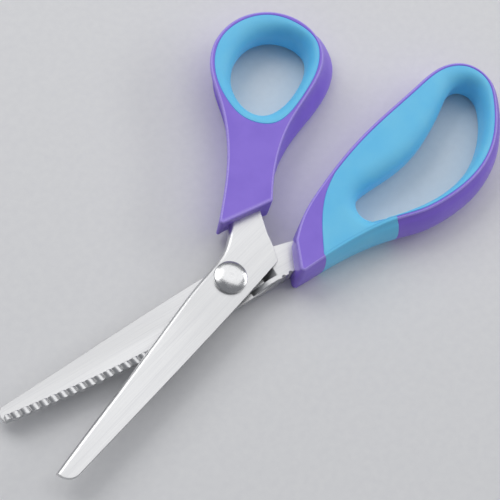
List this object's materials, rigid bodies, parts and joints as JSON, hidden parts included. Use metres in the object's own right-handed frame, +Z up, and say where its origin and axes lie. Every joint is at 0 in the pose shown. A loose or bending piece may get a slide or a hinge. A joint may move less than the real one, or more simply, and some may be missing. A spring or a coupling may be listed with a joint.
{
  "type": "decorative edge scissors",
  "caption": "Decorative edge scissors with scalloped steel blades on one pivot screw and two moulded handles with soft grips.",
  "frame": {"origin": "on the pivot axis, in the plane that the scissors rest on, at the centre of the pivot screw's lower end", "axes": "+X towards the lower blade's tip, +Z up along the pivot axis towards the screw's head, +Y towards the scalloped edge of the lower blade"},
  "size_m": [0.2383, 0.1213, 0.016],
  "materials": {
    "blade_steel": "satin, brushed",
    "polished_steel": "polished",
    "washer_plastic": "matte",
    "spring_steel": "satin",
    "plated_steel": "satin",
    "handle_plastic": "satin gloss",
    "grip_rubber": "soft matte"
  },
  "bodies": {
    "lower_half": {"lower_blade": "blade_steel", "pivot_screw": "polished_steel", "spacer_washer": "washer_plastic", "wave_washer": "spring_steel", "flat_washer": "plated_steel", "pivot_nut": "plated_steel", "finger_handle": "handle_plastic", "finger_grip": "grip_rubber"},
    "upper_half": {"upper_blade": "blade_steel", "thumb_handle": "handle_plastic", "thumb_grip": "grip_rubber"}
  },
  "joints": [
    {"name": "blade_pivot", "type": "hinge", "parent": "lower_half", "child": "upper_half", "pos_m": [0, 0, 0.008], "axis": [0, 0, 1], "range_deg": [-15, 45]}
  ]
}
